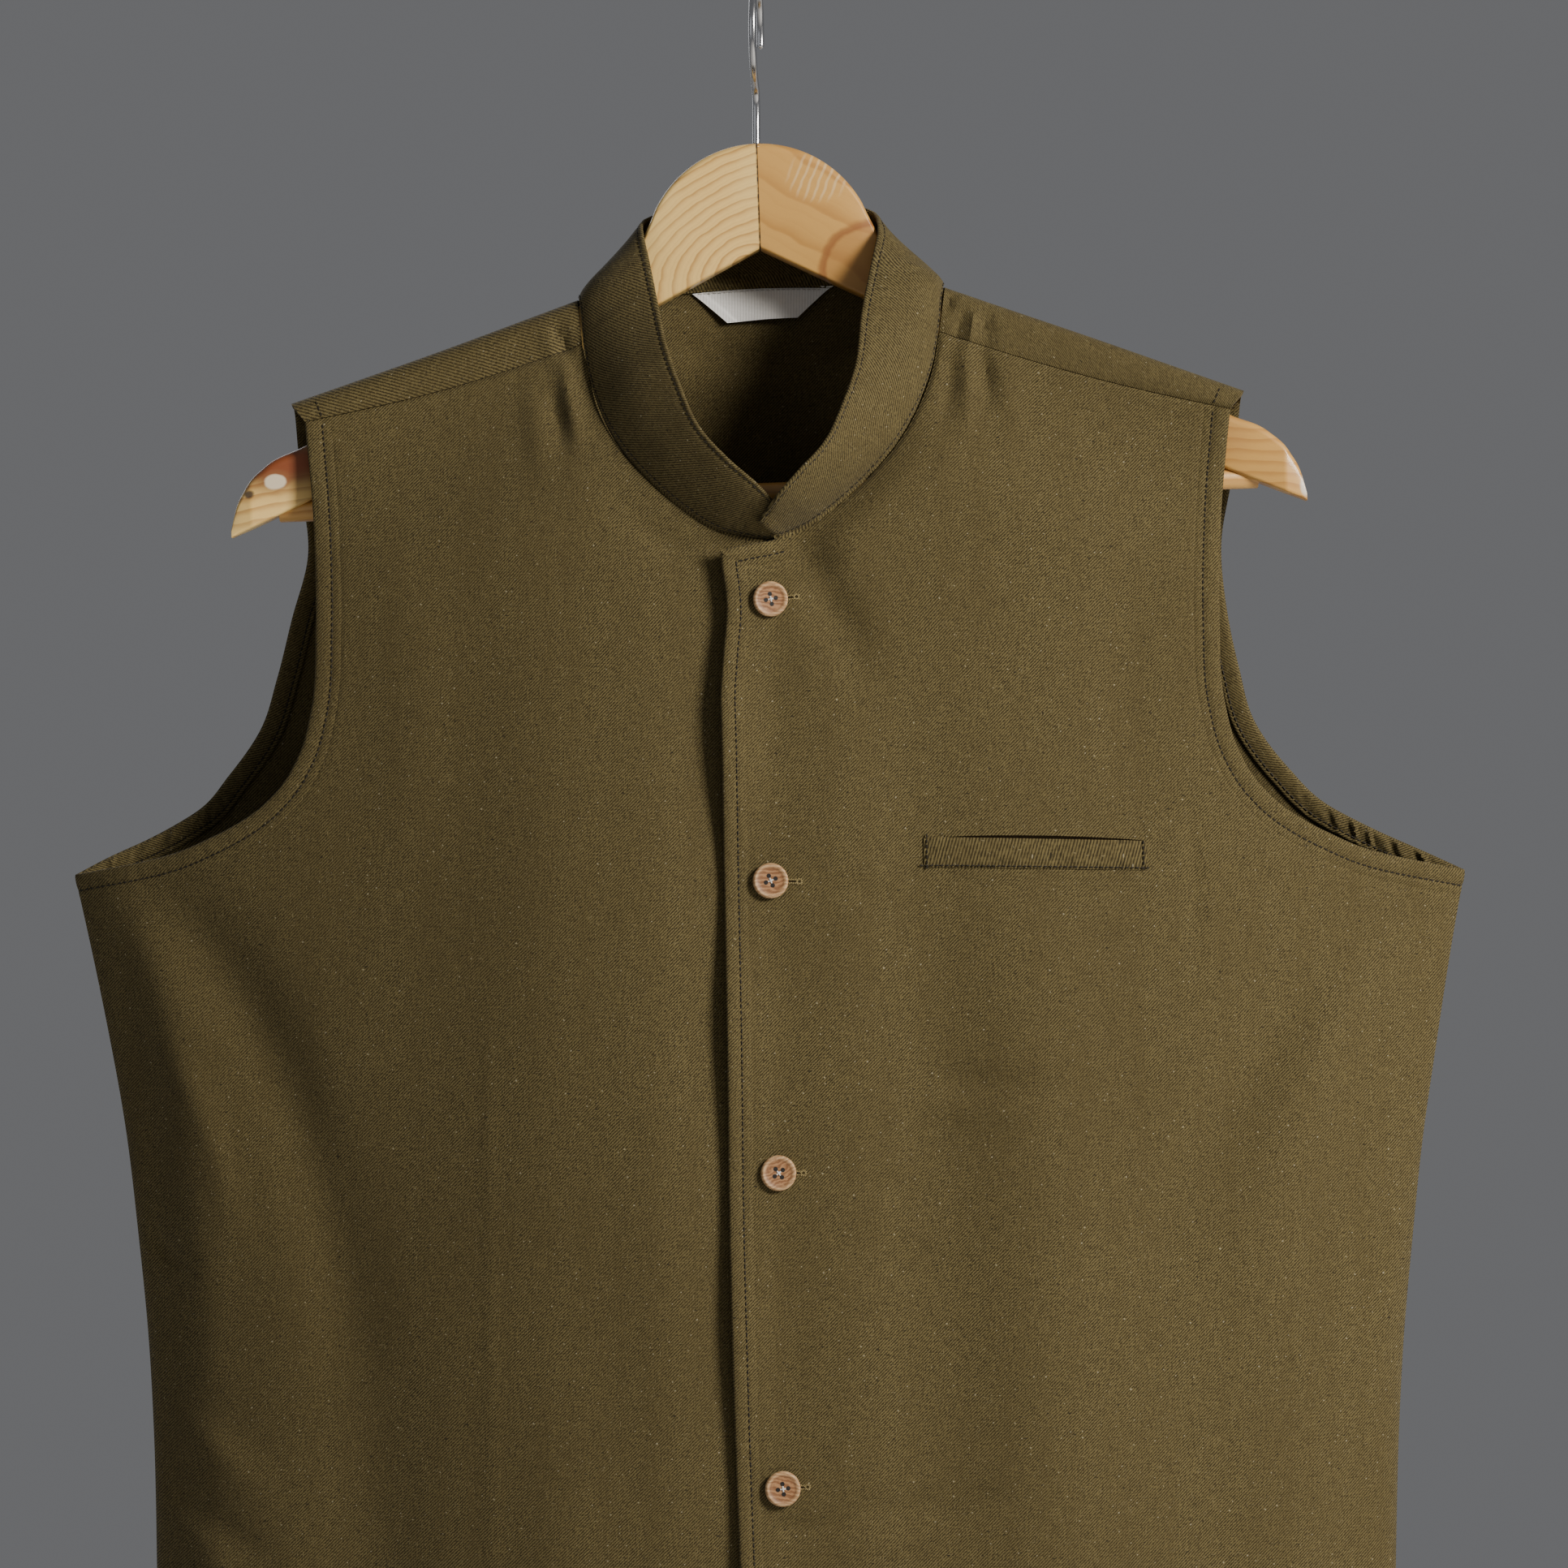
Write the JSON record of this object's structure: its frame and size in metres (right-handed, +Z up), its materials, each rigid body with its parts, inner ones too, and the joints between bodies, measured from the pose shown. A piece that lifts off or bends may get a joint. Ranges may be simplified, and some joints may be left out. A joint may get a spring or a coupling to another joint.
{
  "type": "nehru jacket on a wooden hanger",
  "caption": "Sleeveless nehru jacket with a band collar, buttoned front and breast welt, hung on a two-part pine hanger with a trouser bar and a wire hook.",
  "frame": {"origin": "the seat inside the top of the hook, where a rail carries the hanger", "axes": "+X to the right of someone facing the jacket's front, -Y the side that person stands on, +Z up"},
  "size_m": [0.58, 0.1192, 0.8512],
  "materials": {
    "olive_cloth": "fine olive-brown linen-look cloth with pale slubs and dark topstitching",
    "label_cloth": "white woven label, left bare",
    "button_wood": "light-brown turned wood with a swirled grain, satin",
    "hanger_wood": "varnished pale pine",
    "hook_steel": "polished chrome-plated steel wire"
  },
  "bodies": {
    "root": {"front_left": "olive_cloth", "front_right": "olive_cloth", "back": "olive_cloth", "collar": "olive_cloth", "pocket_welt": "olive_cloth", "label": "label_cloth", "armhole_facing_left": "olive_cloth", "armhole_facing_right": "olive_cloth", "hanger_arm_left": "hanger_wood", "hanger_arm_right": "hanger_wood", "hanger_bar": "hanger_wood", "hanger_hook": "hook_steel", "button_1": "button_wood", "button_2": "button_wood", "button_3": "button_wood", "button_4": "button_wood", "button_5": "button_wood"}
  },
  "joints": []
}
